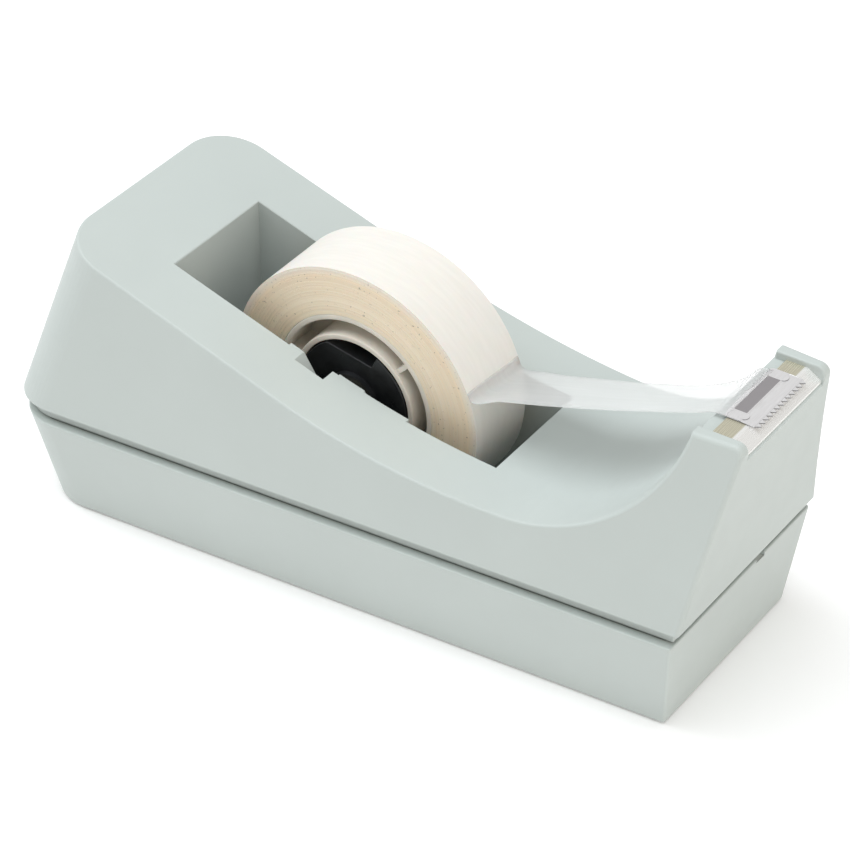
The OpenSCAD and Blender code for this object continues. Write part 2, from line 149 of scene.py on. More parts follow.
class DispenserSettings(bpy.types.PropertyGroup):
    shell: PointerProperty(type=ShellSettings, name="Shell", description="The two housings")
    cutter: PointerProperty(type=CutterSettings, name="Cutter", description="The cutter and its bracket")
    hub: PointerProperty(type=HubSettings, name="Hub", description="The hub and the tape's core")
    tape: PointerProperty(type=TapeSettings, name="Tape", description="The roll and the free tape")
    stage: PointerProperty(type=StageSettings, name="Stage", description="Floor, light and camera")


def settings():
    return bpy.context.scene.dispenser


# ---- materials ---------------------------------------------------------------------------------


class Finish:
    """A new material with its own nodes; every pattern reads Object coordinates, in metres."""

    def __init__(self, name, base, roughness, **sockets):
        self.material = bpy.data.materials.new(name)
        self.material.use_nodes = True
        self.tree = self.material.node_tree
        self.shader = next(n for n in self.tree.nodes if n.type == "BSDF_PRINCIPLED")
        self.shader.inputs["Base Color"].default_value = (*base, 1)
        self.shader.inputs["Roughness"].default_value = roughness
        for socket, value in sockets.items():
            self.shader.inputs[socket.replace("_", " ")].default_value = value
        self.place = self.add("ShaderNodeTexCoord").outputs["Object"]

    def add(self, kind, **values):
        node = self.tree.nodes.new(kind)
        for key, value in values.items():
            setattr(node, key, value)
        return node

    def link(self, source, target):
        self.tree.links.new(source, target)
        return target

    def mapped(self, at=(0, 0, 0), turn=(0, 0, 0), scale=(1, 1, 1)):
        """Object coordinates measured from a point, turned and scaled."""
        node = self.add("ShaderNodeMapping")
        node.inputs["Scale"].default_value = scale
        node.inputs["Rotation"].default_value = turn
        node.inputs["Location"].default_value = [-a * s for a, s in zip(at, scale)]
        self.link(self.place, node.inputs["Vector"])
        return node.outputs["Vector"]

    def noise(self, size, detail=2.0, vector=None, rough=0.5):
        node = self.add("ShaderNodeTexNoise")
        node.inputs["Scale"].default_value = 1 / size
        node.inputs["Detail"].default_value = detail
        node.inputs["Roughness"].default_value = rough
        self.link(vector or self.place, node.inputs["Vector"])
        return node.outputs["Fac"]

    def ramp(self, factor, *stops):
        node = self.add("ShaderNodeValToRGB")
        band = node.color_ramp
        while len(band.elements) < len(stops):
            band.elements.new(0.5)
        for element, (at, tint) in zip(band.elements, stops):
            element.position = at
            element.color = (*tint, 1) if hasattr(tint, "__len__") else (tint, tint, tint, 1)
        self.link(factor, node.inputs["Fac"])
        return node.outputs["Color"]

    def math(self, operation, a, b=0.5, clamp=False):
        node = self.add("ShaderNodeMath", operation=operation, use_clamp=clamp)
        for socket, value in zip(node.inputs, (a, b)):
            if isinstance(value, (int, float)):
                socket.default_value = value
            else:
                self.link(value, socket)
        return node.outputs["Value"]

    def span(self, value, low, high, to_low, to_high):
        node = self.add("ShaderNodeMapRange")
        for socket, number in zip(("From Min", "From Max", "To Min", "To Max"), (low, high, to_low, to_high)):
            node.inputs[socket].default_value = number
        self.link(value, node.inputs["Value"])
        return node.outputs["Result"]

    def mix(self, factor, a, b):
        node = self.add("ShaderNodeMix", data_type="RGBA")
        for socket, value in zip((node.inputs[0], node.inputs[6], node.inputs[7]), (factor, a, b)):
            if isinstance(value, (int, float)):
                socket.default_value = value
            elif isinstance(value, bpy.types.NodeSocket):
                self.link(value, socket)
            else:
                socket.default_value = (*value, 1)
        return node.outputs[2]

    def paint(self, tint):
        self.link(tint, self.shader.inputs["Base Color"])

    def rough(self, value, low, high):
        self.link(self.span(value, 0.3, 0.7, low, high), self.shader.inputs["Roughness"])

    def bump(self, height, depth, strength=1.0):
        node = self.add("ShaderNodeBump")
        node.inputs["Distance"].default_value = depth
        node.inputs["Strength"].default_value = strength
        self.link(height, node.inputs["Height"])
        self.link(node.outputs["Normal"], self.shader.inputs["Normal"])


def shade(tint, factor):
    return tuple(min(1.0, c * factor) for c in tint)


def shell_plastic():
    """Pale moulded plastic: a fine even grain, faint cloudiness and slightly uneven gloss."""
    s = settings().shell
    f = Finish("shell_plastic", s.plastic, s.roughness, Specular_IOR_Level=0.42)
    cloud = f.noise(22 * MM, 3.0)
    f.paint(f.mix(f.span(cloud, 0.3, 0.7, 0, 1), shade(s.plastic, 0.985), shade(s.plastic, 1.012)))
    f.rough(f.noise(4 * MM, 4.0), s.roughness - 0.03, s.roughness + 0.04)
    f.bump(f.noise(s.grain, 2.0), 0.012 * MM, 0.8)
    return f.material


def plated_steel():
    """Nickel-plated sheet: warm grey, softly brushed along the cutter's width."""
    s = settings().cutter
    f = Finish("plated_steel", s.steel, 0.26, Metallic=0.5)
    grain = f.noise(1.2 * MM, 3.0, f.mapped(scale=(6, 0.25, 6)))
    flat = f.mix(f.span(grain, 0.3, 0.7, 0, 1), shade(s.steel, 0.96), shade(s.steel, 1.03))
    # Painted highlight: the bracket's bent-down front is painted near white for the light it throws back; the flat
    # keeps the straw-coloured steel
    axes = f.add("ShaderNodeSeparateXYZ")
    f.link(f.place, axes.inputs["Vector"])
    painted_bend_highlight = f.span(axes.outputs["X"], BRACKET_HIGH.x - 3.8 * MM, BRACKET_HIGH.x - 3.5 * MM, 0, 1)
    f.paint(f.mix(painted_bend_highlight, flat, (0.93, 0.93, 0.92)))
    f.rough(grain, 0.20, 0.32)
    f.bump(grain, 0.006 * MM, 0.5)
    return f.material


def cutter_steel():
    """Stamped stainless steel with a satin face and a plain printed band behind the teeth."""
    s = settings().cutter
    f = Finish("cutter_steel", s.blade, 0.34, Metallic=0.55)
    grain = f.noise(1.0 * MM, 3.0, f.mapped(scale=(8, 0.3, 8)))
    base = f.mix(f.span(grain, 0.3, 0.7, 0, 1), shade(s.blade, 0.95), shade(s.blade, 1.04))
    middle = (BLADE_LOW + BLADE_HIGH) / 2
    axes = f.add("ShaderNodeSeparateXYZ")
    f.link(f.mapped(at=(BLADE_LOW.x + 2.25 * MM, middle.y, 0)), axes.inputs["Vector"])
    along = f.math("LESS_THAN", f.math("ABSOLUTE", axes.outputs["Y"]), 6.4 * MM)
    across = f.math("LESS_THAN", f.math("ABSOLUTE", axes.outputs["X"]), 1.35 * MM)
    # Painted shade: the upright side walls of the plate and its teeth, picked by their normals, are painted near
    # black for the dark outline that shade draws round the plate
    way = f.add("ShaderNodeSeparateXYZ")
    f.link(f.add("ShaderNodeTexCoord").outputs["Normal"], way.inputs["Vector"])
    edge = f.span(f.math("ABSOLUTE", way.outputs["Z"]), 0.35, 0.85, 0.8, 0)
    face = f.mix(f.math("MULTIPLY", along, across), base, s.band)
    f.paint(f.mix(edge, face, (0.12, 0.12, 0.125)))
    f.rough(grain, 0.28, 0.42)
    f.bump(grain, 0.004 * MM, 0.5)
    return f.material


def hub_plastic():
    """Black plastic with a satin face."""
    s = settings().hub
    f = Finish("hub_plastic", s.plastic, 0.32, Specular_IOR_Level=0.5)
    cloud = f.noise(3 * MM, 4.0)
    f.paint(f.mix(f.span(cloud, 0.3, 0.7, 0, 1), shade(s.plastic, 0.75), shade(s.plastic, 1.5)))
    f.rough(cloud, 0.27, 0.4)
    f.bump(f.noise(0.3 * MM, 2.0), 0.01 * MM, 0.6)
    return f.material


def core_plastic():
    """Cream white plastic, a little waxy, with a faint cloudiness."""
    s = settings().hub
    f = Finish("core_plastic", s.core, 0.4, Subsurface_Weight=0.12, Subsurface_Scale=0.8 * MM)
    cloud = f.noise(5 * MM, 4.0)
    f.paint(f.mix(f.span(cloud, 0.3, 0.7, 0, 1), shade(s.core, 0.94), shade(s.core, 1.04)))
    f.rough(cloud, 0.36, 0.47)
    f.bump(f.noise(0.5 * MM, 2.0), 0.01 * MM, 0.6)
    return f.material


def wound_tape():
    """The roll: cream bands and specks on its sides, and a milky white outer face."""
    s = settings().tape
    f = Finish("wound_tape", s.side, 0.5, Subsurface_Weight=0.18, Subsurface_Scale=1.6 * MM)
    axes = f.add("ShaderNodeSeparateXYZ")
    f.link(f.mapped(at=AXIS), axes.inputs["Vector"])
    square = f.math("ADD", f.math("MULTIPLY", axes.outputs["X"], axes.outputs["X"]),
                    f.math("MULTIPLY", axes.outputs["Z"], axes.outputs["Z"]))
    radius = f.math("SQRT", square)
    rings = f.add("ShaderNodeCombineXYZ")
    f.link(f.math("MULTIPLY", radius, 1.0), rings.inputs["X"])
    f.link(f.math("MULTIPLY", axes.outputs["Y"], 0.02), rings.inputs["Y"])
    fine = f.noise(0.35 * MM, 3.0, rings.outputs["Vector"], 0.6)
    broad = f.noise(2.6 * MM, 2.0, rings.outputs["Vector"])
    side = f.mix(f.span(fine, 0.3, 0.72, 0, 1), shade(s.side, 0.93), shade(s.side, 1.06))
    side = f.mix(f.span(broad, 0.35, 0.65, 0, 0.55), side, (0.93, 0.83, 0.67))
    # Specks of dust that gather on the sticky edges, mostly in two loose rings
    speck = f.ramp(f.noise(0.55 * MM, 1.0), (0.0, 0.0), (0.70, 0.0), (0.735, 1.0))
    near_ring = f.ramp(f.span(radius, 18.8 * MM, 29.6 * MM, 0, 1), (0.0, 0.25), (0.22, 0.9), (0.34, 0.25),
                       (0.62, 0.35), (0.78, 1.0), (1.0, 0.6))
    side = f.mix(f.math("MULTIPLY", speck, near_ring), side, shade(s.side, 0.42))
    streak = f.noise(1.1 * MM, 2.0, f.mapped(scale=(0.15, 1, 0.15)))
    face = f.mix(f.span(streak, 0.35, 0.65, 0, 1), shade(s.face, 0.975), shade(s.face, 1.01))
    normal = f.add("ShaderNodeSeparateXYZ")
    f.link(f.add("ShaderNodeTexCoord").outputs["Normal"], normal.inputs["Vector"])
    facing = f.span(f.math("ABSOLUTE", normal.outputs["Y"]), 0.35, 0.75, 0, 1)
    # Light soaks in at the rim, so the side pales toward the outer face
    rim = f.span(radius, 27.6 * MM, 29.5 * MM, 0, 0.75)
    side = f.mix(rim, side, shade(s.face, 0.93))
    f.paint(f.mix(facing, face, side))
    f.rough(fine, 0.42, 0.56)
    f.bump(f.math("MULTIPLY", fine, facing), 0.03 * MM, 0.7)
    return f.material


def clear_film():
    """Frosted film: milky, half see-through, with faint lines along its length."""
    s = settings().tape
    f = Finish("clear_film", s.film, 0.36, Alpha=0.42, IOR=1.45, Specular_IOR_Level=0.4, Subsurface_Weight=1.0,
               Subsurface_Radius=(1.0, 1.0, 1.0), Subsurface_Scale=0.6 * MM)
    lines = f.noise(0.9 * MM, 3.0, f.mapped(scale=(0.06, 1, 0.06)))
    f.paint(f.mix(f.span(lines, 0.3, 0.7, 0, 1), shade(s.film, 0.97), shade(s.film, 1.03)))
    f.rough(lines, 0.32, 0.42)
    f.bump(lines, 0.01 * MM, 0.5)
    return f.material


def cast_ballast():
    """Rough grey casting with open pores."""
    f = Finish("cast_ballast", (0.11, 0.112, 0.115), 0.82)
    grit = f.noise(0.9 * MM, 6.0, None, 0.65)
    f.paint(f.mix(f.span(grit, 0.3, 0.7, 0, 1), (0.07, 0.071, 0.074), (0.17, 0.172, 0.175)))
    f.rough(grit, 0.74, 0.92)
    f.bump(grit, 0.25 * MM, 0.8)
    return f.material


def pad_foam():
    """Dense black non-slip foam with closed cells."""
    f = Finish("pad_foam", (0.022, 0.022, 0.023), 0.9)
    cells = f.add("ShaderNodeTexVoronoi")
    cells.inputs["Scale"].default_value = 1 / (0.7 * MM)
    f.link(f.place, cells.inputs["Vector"])
    f.paint(f.mix(f.span(cells.outputs["Distance"], 0.1, 0.7, 0, 1), (0.014, 0.014, 0.015), (0.034, 0.034, 0.036)))
    f.rough(cells.outputs["Distance"], 0.84, 0.95)
    f.bump(cells.outputs["Distance"], 0.12 * MM, 0.8)
    return f.material


# ---- shared mesh helpers -----------------------------------------------------------------------


def show(name, mesh, material, body, slot, *nodes):
    """Puts a finished mesh in the scene, on its body and in place of its design nodes."""
    mesh.name = name
    mesh.materials.clear()
    mesh.materials.append(material)
    piece = bpy.data.objects.new(name, mesh)
    bpy.context.scene.collection.objects.link(piece)
    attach(piece, body)
    if nodes:
        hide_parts(*nodes)
    return piece


def settled(piece, name):
    """The plain mesh that an object's modifiers give, with the object removed."""
    bpy.context.view_layer.update()
    graph = bpy.context.evaluated_depsgraph_get()
    mesh = bpy.data.meshes.new_from_object(piece.evaluated_get(graph), depsgraph=graph)
    mesh.name = name
    bpy.data.objects.remove(piece)
    return mesh


def temporary(mesh):
    piece = bpy.data.objects.new("work", mesh)
    bpy.context.scene.collection.objects.link(piece)
    return piece


def merged_copy(node):
    """A welded copy of a design node, with its flat faces joined up."""
    bm = bmesh.new()
    bm.from_mesh(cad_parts[node].data)
    bmesh.ops.remove_doubles(bm, verts=bm.verts, dist=0.002 * MM)
    bmesh.ops.dissolve_limit(bm, angle_limit=math.radians(0.35), verts=bm.verts, edges=bm.edges)
    bm.normal_update()
    return bm


def soft_edged(bm, name, width_of, segments=4):
    """Rounds chosen edges: width_of(edge, normal_a, centre_a, normal_b, centre_b) gives each width."""
    layer = bm.edges.layers.float.new("bevel_weight_edge")
    widths = {}
    for edge in bm.edges:
        if len(edge.link_faces) == 2 and edge.calc_face_angle(0) > math.radians(22):
            a, b = edge.link_faces
            width = width_of(edge, a, b)
            if width:
                widths[edge] = width
    widest = max(widths.values())
    for edge, width in widths.items():
        edge[layer] = width / widest
    for face in bm.faces:
        face.smooth = True
    mesh = bpy.data.meshes.new(name)
    bm.to_mesh(mesh)
    bm.free()
    mesh.set_sharp_from_angle(angle=math.radians(28))
    piece = temporary(mesh)
    bevel = piece.modifiers.new("Soft edges", "BEVEL")
    bevel.limit_method = "WEIGHT"
    bevel.width = widest
    bevel.segments = segments
    bevel.use_clamp_overlap = False
    flats = piece.modifiers.new("Flat faces", "WEIGHTED_NORMAL")
    flats.mode = "FACE_AREA"
    flats.weight = 50
    flats.keep_sharp = True
    return settled(piece, name)


def turned(profile, name, turns=160):
    """A closed ring turned about the roll's axis from (radius, distance along the axis) points."""
    bm = bmesh.new()
    rings = []
    for k in range(turns):
        a = 2 * math.pi * k / turns
        rings.append([bm.verts.new((AXIS.x + r * math.cos(a), AXIS.y + y, AXIS.z + r * math.sin(a)))
                      for r, y in profile])
    for k in range(turns):
        one, two = rings[k], rings[(k + 1) % turns]
        for i in range(len(profile)):
            j = (i + 1) % len(profile)
            bm.faces.new((one[i], one[j], two[j], two[i]))
    bmesh.ops.recalc_face_normals(bm, faces=bm.faces)
    for face in bm.faces:
        face.smooth = True
    mesh = bpy.data.meshes.new(name)
    bm.to_mesh(mesh)
    bm.free()
    mesh.set_sharp_from_angle(angle=math.radians(35))
    return mesh


def softened(corners, radius, steps=3):
    """A closed outline with every corner rounded, as points in order."""
    points = []
    count = len(corners)
    for i, here in enumerate(corners):
        p, before, after = Vector(here), Vector(corners[i - 1]), Vector(corners[(i + 1) % count])
        a, b = (before - p), (after - p)
        r = min(radius, a.length * 0.45, b.length * 0.45)
        a, b = p + a.normalized() * r, p + b.normalized() * r
        for k in range(steps + 1):
            t = k / steps
            points.append(tuple((1 - t) ** 2 * a + 2 * t * (1 - t) * p + t * t * b))
    return points


# ---- Geometry Nodes helpers --------------------------------------------------------------------


class Tree:
    """A Geometry Nodes tree with named inputs, ending in Realize Instances and Set Material."""

    def __init__(self, name, material, **inputs):
        self.tree = bpy.data.node_groups.new(name, "GeometryNodeTree")
        self.tree.is_modifier = True
        face = self.tree.interface
        face.new_socket("Geometry", in_out="INPUT", socket_type="NodeSocketGeometry")
        face.new_socket("Geometry", in_out="OUTPUT", socket_type="NodeSocketGeometry")
        self.values = inputs
        self.keys = {}
        for label, value in inputs.items():
            kind = "NodeSocketInt" if isinstance(value, int) else "NodeSocketFloat"
            self.keys[label] = face.new_socket(label, in_out="INPUT", socket_type=kind).identifier
        self.source = self.tree.nodes.new("NodeGroupInput")
        self.material = material

    def add(self, kind, **values):
        node = self.tree.nodes.new(kind)
        for key, value in values.items():
            setattr(node, key, value)
        return node

    def wire(self, source, target):
        self.tree.links.new(source, target)

    def feed(self, node, **sockets):
        for label, value in sockets.items():
            socket = node.inputs[label.replace("_", " ")]
            if isinstance(value, bpy.types.NodeSocket):
                self.wire(value, socket)
            else:
                socket.default_value = value
        return node

    def input(self, label):
        return self.source.outputs[label]

    def math(self, operation, a, b=0.0):
        node = self.add("ShaderNodeMath", operation=operation)
        for socket, value in zip(node.inputs, (a, b)):
            if isinstance(value, (int, float)):
                socket.default_value = value
            else:
                self.wire(value, socket)
        return node.outputs[0]

    def vector(self, x=0.0, y=0.0, z=0.0):
        return self.feed(self.add("ShaderNodeCombineXYZ"), X=x, Y=y, Z=z).outputs[0]

    def finish(self, geometry):
        real = self.add("GeometryNodeRealizeInstances")
        painted = self.add("GeometryNodeSetMaterial")
        painted.inputs["Material"].default_value = self.material
        out = self.tree.nodes.new("NodeGroupOutput")
        self.wire(geometry, real.inputs["Geometry"])
        self.wire(real.outputs["Geometry"], painted.inputs["Geometry"])
        self.wire(painted.outputs["Geometry"], out.inputs["Geometry"])

    def run(self, mesh, name):
        """The plain mesh that the tree makes from a start mesh."""
        piece = temporary(mesh)
        modifier = piece.modifiers.new(name, "NODES")
        modifier.node_group = self.tree
        for label, value in self.values.items():
            modifier[self.keys[label]] = value
        return settled(piece, name)


# ---- housings ----------------------------------------------------------------------------------


def is_leaning_side(face, up):
    """An outer face of a drafted housing; up is +1 where it leans in toward the top, -1 toward the desk."""
    n, c = face.normal, face.calc_center_median()
    flat = math.hypot(n.x, n.y)
    if flat < 0.9 or not 0.1 < up * n.z < 0.4:
        return False
    return n.y * c.y > 0 or n.x * c.x > 0


def upper_edge_width(edge, a, b):
    s = settings().shell
    if not edge.is_convex:
        return 0
    spot = (edge.verts[0].co + edge.verts[1].co) / 2
    kinds = set()
    for face in (a, b):
        n, c = face.normal, face.calc_center_median()
        if is_leaning_side(face, 1) and not (abs(n.y) < 0.05 and c.x > 0):
            kinds.add("side")
        elif c.x > 76 * MM and n.x > 0.1 and abs(n.y) < 0.05 and c.z > HOUSING_HIGH.z - 3.5 * MM:
            kinds.add("tip")
        elif n.x > 0.9 and c.x > 70 * MM and n.z < 0.1:
            kinds.add("front")
        elif n.z > 0.15 and abs(n.y) < 0.05 and c.z > 35 * MM:
            kinds.add("top")
        elif n.z < -0.9 and BASE_HIGH.z + 1 * MM < c.z < BASE_HIGH.z + 4.5 * MM:
            kinds.add("under")
        elif abs(n.y) > 0.99 and c.x > 68 * MM and abs(c.y) < 14.5 * MM and c.z > 60 * MM:
            kinds.add("cheek")
        elif abs(n.z) < 0.02 and abs(c.y) < 14.6 * MM and -53 * MM < c.x < 27 * MM:
            kinds.add("well")
    if "side" in kinds:
        if kinds & {"top", "tip"}:
            if spot.x > HOUSING_HIGH.x - 4 * MM:
                return s.corner_edge
            nearing = min(1, max(0, (spot.x - 46 * MM) / (24 * MM)))
            return s.top_edge + (s.cheek_edge - s.top_edge) * nearing
        if "front" in kinds:
            return s.corner_edge
        if "under" in kinds:
            return s.lip_edge
    if kinds == {"front", "under"}:
        return s.lip_edge
    if kinds == {"top", "well"} and edge.calc_length() > 3.2 * MM:
        return s.well_edge
    if "cheek" in kinds and kinds & {"top", "tip"} and spot.z > HOUSING_HIGH.z - 2.5 * MM:
        return s.lip_edge
    if kinds == {"top", "front"}:
        return s.lip_edge
    return 0


def base_edge_width(edge, a, b):
    s = settings().shell
    kinds = set()
    for face in (a, b):
        n, c = face.normal, face.calc_center_median()
        if n.x > 0.9 and c.x > BASE_HIGH.x - 5 * MM:
            kinds.add("front")
        elif is_leaning_side(face, -1):
            kinds.add("side")
        elif n.z > 0.99 and c.z > BASE_HIGH.z - 0.1 * MM:
            kinds.add("rim")
        elif n.z < -0.99 and c.z < BASE_LOW.z + 0.1 * MM:
            kinds.add("foot")
    if kinds == {"side", "front"}:
        return s.corner_edge * 0.7
    if kinds & {"side", "front"} and kinds & {"rim", "foot"}:
        return s.lip_edge
    return 0


class DISPENSER_OT_housings(bpy.types.Operator):
    """Rounds the edges of the upper housing and the base and gives them their moulded plastic"""
    bl_idname = "dispenser.housings"
    bl_label = "Housings"

    def execute(self, context):
        plastic = shell_plastic()
        upper = soft_edged(merged_copy("upper_housing"), "upper_shell", upper_edge_width)
        show("upper_shell", upper, plastic, "body", "shell", "upper_housing")
        base = soft_edged(merged_copy("base_tray"), "base_shell", base_edge_width, 3)
        show("base_shell", base, plastic, "body", "shell", "base_tray")
        return {"FINISHED"}


# ---- cutter ------------------------------------------------------------------------------------


def blade_plate():
    """The stamped plate without its teeth: a thick rear part, a step, and a thinner strip in front."""
    s = settings().cutter
    low, high = BLADE_LOW, BLADE_HIGH
    front = high.x - s.reach
    step = low.x + 4.1 * MM
    r = s.corner
    outline = []
    for cx, cy, start in ((low.x + r, high.y - r, 90), (low.x + r, low.y + r, 180)):
        outline += [(cx + r * math.cos(math.radians(start + a)), cy + r * math.sin(math.radians(start + a)))
                    for a in range(0, 91, 15)]
    outline += [(step, low.y), (front, low.y), (front, high.y), (step, high.y)]
    bm = bmesh.new()
    thin = 0.12 * MM
    crown = high.z - 0.02 * MM           # just under the rivets' heads

    def top_at(x):
        return crown - (0 if x <= step + 1e-6 else thin)

    inset = 0.09 * MM
    middle_x, middle_y = (low.x + front) / 2, (low.y + high.y) / 2

    def moved(x, y, by):
        return (x - math.copysign(by, x - middle_x) * (abs(x - middle_x) > 0.5 * MM),
                y - math.copysign(by, y - middle_y))

    count = len(outline)
    levels = []
    for by, height in ((inset, 0.0), (0, inset), (0, -inset), (inset, 0.0)):
        ring = []
        for i, (x, y) in enumerate(outline):
            px, py = moved(x, y, by)
            base = low.z if len(levels) < 2 else top_at(x)
            ring.append(bm.verts.new((px, py, base + height)))
        levels.append(ring)
    for lower, upper in zip(levels, levels[1:]):
        for i in range(count):
            j = (i + 1) % count
            bm.faces.new((lower[i], lower[j], upper[j], upper[i]))
    bm.faces.new(list(reversed(levels[0])))
    # The top is two flats with a small slope between them
    top = levels[-1]
    near_step, near_front, far_front, far_step = top[-4:]
    slope_near = bm.verts.new((near_step.co.x - 0.25 * MM, near_step.co.y, crown))
    slope_far = bm.verts.new((far_step.co.x - 0.25 * MM, far_step.co.y, crown))
    bm.faces.new(top[:-4] + [slope_near, slope_far])
    bm.faces.new((slope_near, near_step, far_step, slope_far))
    bm.faces.new((near_step, near_front, far_front, far_step))
    bm.faces.new((top[-5], near_step, slope_near))
    bm.faces.new((top[0], slope_far, far_step))
    near_step.co.z = far_step.co.z = crown - thin
    bmesh.ops.recalc_face_normals(bm, faces=bm.faces)
    mesh = bpy.data.meshes.new("plate")
    bm.to_mesh(mesh)
    bm.free()
    return mesh


def toothed_edge(material):
    """Joins a row of pointed teeth to the plate, along its front edge."""
    s = settings().cutter
    low, high = BLADE_LOW, BLADE_HIGH
    count = int((high.y - low.y) / s.pitch + 1e-6)
    t = Tree("Toothed edge", material, Teeth=count, Pitch=s.pitch, Reach=s.reach,
             Thickness=high.z - low.z - 0.14 * MM, Front=high.x - s.reach,
             Middle=(low.y + high.y) / 2, Level=low.z)
    tooth = t.add("GeometryNodeMeshCylinder", fill_type="NGON")
    t.feed(tooth, Vertices=3, Radius=1.0, Depth=1.0)
    shape = t.feed(t.add("GeometryNodeTransform"), Geometry=tooth.outputs["Mesh"],
                   Translation=t.vector(t.math("MULTIPLY", t.input("Reach"), 0.31), 0.0,
                                        t.math("MULTIPLY", t.input("Thickness"), 0.5)),
                   Scale=t.vector(t.math("MULTIPLY", t.input("Reach"), 0.70),
                                  t.math("MULTIPLY", t.input("Pitch"), 0.577), t.input("Thickness")))
    first = t.math("SUBTRACT", t.input("Middle"), t.math("MULTIPLY", t.input("Pitch"), t.math(
        "MULTIPLY", t.math("SUBTRACT", t.input("Teeth"), 1.0), 0.5)))
    row = t.feed(t.add("GeometryNodeMeshLine", mode="OFFSET"), Count=t.input("Teeth"),
                 Offset=t.vector(0.0, t.input("Pitch"), 0.0))
    t.wire(t.vector(t.input("Front"), first, t.input("Level")), row.inputs["Start Location"])
    teeth = t.feed(t.add("GeometryNodeInstanceOnPoints"), Points=row.outputs["Mesh"],
                   Instance=shape.outputs["Geometry"])
    both = t.add("GeometryNodeJoinGeometry")
    t.wire(teeth.outputs["Instances"], both.inputs["Geometry"])
    t.wire(t.input("Geometry"), both.inputs["Geometry"])
    t.finish(both.outputs["Geometry"])
    return t.run(blade_plate(), "cutter_plate")


def bracket_edge_width(edge, a, b):
    return 0.16 * MM if edge.calc_length() > 2 * MM else 0


class DISPENSER_OT_cutter(bpy.types.Operator):
    """Makes the toothed cutter plate, softens its bracket and finishes the rivets in the cutter plate's steel"""
    bl_idname = "dispenser.cutter"
    bl_label = "Cutter"

    def execute(self, context):
        steel = plated_steel()
        blade = cutter_steel()
        show("cutter_plate", toothed_edge(blade), blade, "body", "blade", "cutter_blade")
        bracket = soft_edged(merged_copy("cutter_bracket"), "bracket_strip", bracket_edge_width, 2)
        show("bracket_strip", bracket, steel, "body", "plated", "cutter_bracket")
        for node in ("blade_rivet_near", "blade_rivet_far"):
            finish_node(node, blade)
        return {"FINISHED"}


def finish_node(node, material):
    """Gives a design node that stays in view its finished material."""
    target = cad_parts[node]
    if not target.material_slots:
        target.data.materials.append(material)
    for slot in target.material_slots:
        slot.material = material


class DISPENSER_OT_fixings(bpy.types.Operator):
    """Finishes the parts seen from below and inside: ballast, non-slip pad, screws, axle and its rings"""
    bl_idname = "dispenser.fixings"
    bl_label = "Ballast, pad and fixings"

    def execute(self, context):
        steel = bpy.data.materials["plated_steel"]
        casting, foam = cast_ballast(), pad_foam()
        for node in ("ballast_front", "ballast_rear"):
            finish_node(node, casting)
        finish_node("non_slip_pad", foam)
        for node in ("housing_screw_1", "housing_screw_2", "housing_screw_3", "housing_screw_4",
                     "hub_axle", "axle_retainer_near", "axle_retainer_far"):
            finish_node(node, steel)
        return {"FINISHED"}


# ---- hub and core ------------------------------------------------------------------------------


def hub_edge_width(edge, a, b):
    return settings().hub.edge if edge.calc_length() > 0.5 * MM else 0


class DISPENSER_OT_hub(bpy.types.Operator):
    """Softens the two black halves of the hub that turns on the axle"""
    bl_idname = "dispenser.hub"
    bl_label = "Hub"

    def execute(self, context):
        black = hub_plastic()
        for side in ("near", "far"):
            mesh = soft_edged(merged_copy(f"hub_half_{side}"), f"hub_{side}", hub_edge_width, 2)
            show(f"hub_{side}", mesh, black, "spool", "hub", f"hub_half_{side}")
        return {"FINISHED"}


def core_rings():
    """Inner ring, outer ring and the web between them, as one turned form with soft rims."""
    s = settings().hub
    half = CORE_SIZE.y / 2
    outer = CORE_SIZE.x / 2
    tape_half = ROLL_SIZE.y / 2
    inner_low = 13.2 * MM
    inner_high = inner_low + s.core_wall
    ring_low = outer - s.core_wall
    web = 0.6 * MM
    corners = [(inner_low, -half), (inner_high, -half), (inner_high, -web), (ring_low, -web),
               (ring_low, -tape_half), (outer, -tape_half), (outer, tape_half), (ring_low, tape_half),
               (ring_low, web), (inner_high, web), (inner_high, half), (inner_low, half)]
    return turned(softened(corners, 0.28 * MM), "core")


def ribbed_core(material):
    """Joins evenly turned ribs to the core's rings."""
    s = settings().hub
    inner = 13.2 * MM + s.core_wall
    outer = CORE_SIZE.x / 2 - s.core_wall
    t = Tree("Ribbed core", material, Ribs=s.ribs, Turn=s.rib_turn, Inner=inner, Outer=outer,
             Thickness=1.0 * MM, Length=ROLL_SIZE.y - 0.8 * MM)
    rib = t.add("GeometryNodeMeshCube")
    t.feed(rib, Vertices_X=2, Vertices_Y=2, Vertices_Z=2,
           Size=t.vector(t.math("ADD", t.math("SUBTRACT", t.input("Outer"), t.input("Inner")), 0.3 * MM),
                         t.input("Length"), t.input("Thickness")))
    shift = t.feed(t.add("GeometryNodeTransform"), Geometry=rib.outputs["Mesh"],
                   Translation=t.vector(t.math("MULTIPLY", t.math("ADD", t.input("Outer"), t.input("Inner")), 0.5)))
    points = t.feed(t.add("GeometryNodePoints"), Count=t.input("Ribs"), Position=tuple(AXIS))
    index = t.add("GeometryNodeInputIndex").outputs[0]
    step = t.math("DIVIDE", 2 * math.pi, t.input("Ribs"))
    angle = t.math("ADD", t.input("Turn"), t.math("MULTIPLY", index, step))
    ribs = t.feed(t.add("GeometryNodeInstanceOnPoints"), Points=points.outputs[0],
                  Instance=shift.outputs["Geometry"],
                  Rotation=t.vector(0.0, t.math("MULTIPLY", angle, -1.0), 0.0))
    both = t.add("GeometryNodeJoinGeometry")
    t.wire(ribs.outputs["Instances"], both.inputs["Geometry"])
    t.wire(t.input("Geometry"), both.inputs["Geometry"])
    t.finish(both.outputs["Geometry"])
    return t.run(core_rings(), "ribbed_core")


